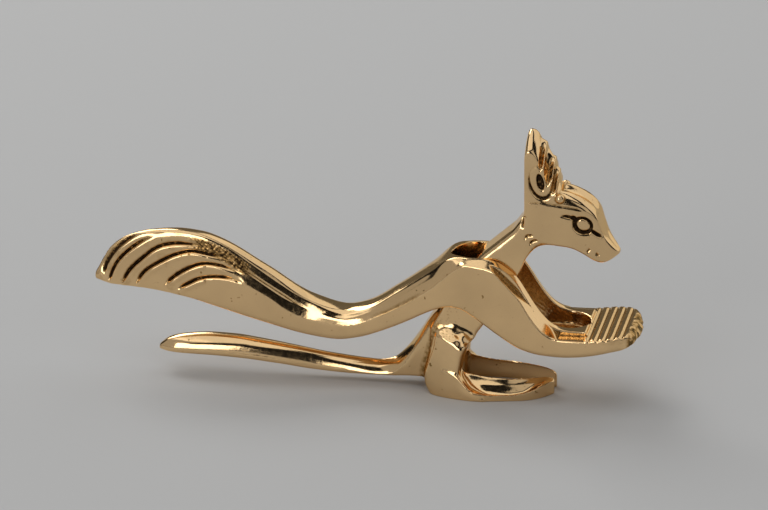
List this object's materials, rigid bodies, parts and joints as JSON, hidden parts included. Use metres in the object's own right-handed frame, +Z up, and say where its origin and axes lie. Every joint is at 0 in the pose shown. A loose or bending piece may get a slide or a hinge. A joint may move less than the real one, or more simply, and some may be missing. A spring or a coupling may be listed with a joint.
{
  "type": "lever nutcracker",
  "caption": "Leaping squirrel lever nutcracker in polished cast brass: tail and lower handle squeeze, the chin closes on the paws.",
  "frame": {"origin": "on the surface that the feet stand on, under the middle of the overall length and width", "axes": "+X from the tail towards the paws, +Y across to the squirrel's left, +Z up"},
  "size_m": [0.2, 0.036, 0.0991],
  "materials": {
    "polished_brass": "polished casting with dark patina in the carved grooves",
    "pin_brass": "riveted and polished flush"
  },
  "bodies": {
    "lower": {"lower_lever": "polished_brass"},
    "upper": {"upper_lever": "polished_brass", "pivot_pin": "pin_brass"}
  },
  "joints": [
    {"name": "lever_pivot", "type": "hinge", "parent": "lower", "child": "upper", "pos_m": [0.038, 0, 0.0425], "axis": [0, 1, 0], "range_deg": [-6.5, 20]}
  ]
}
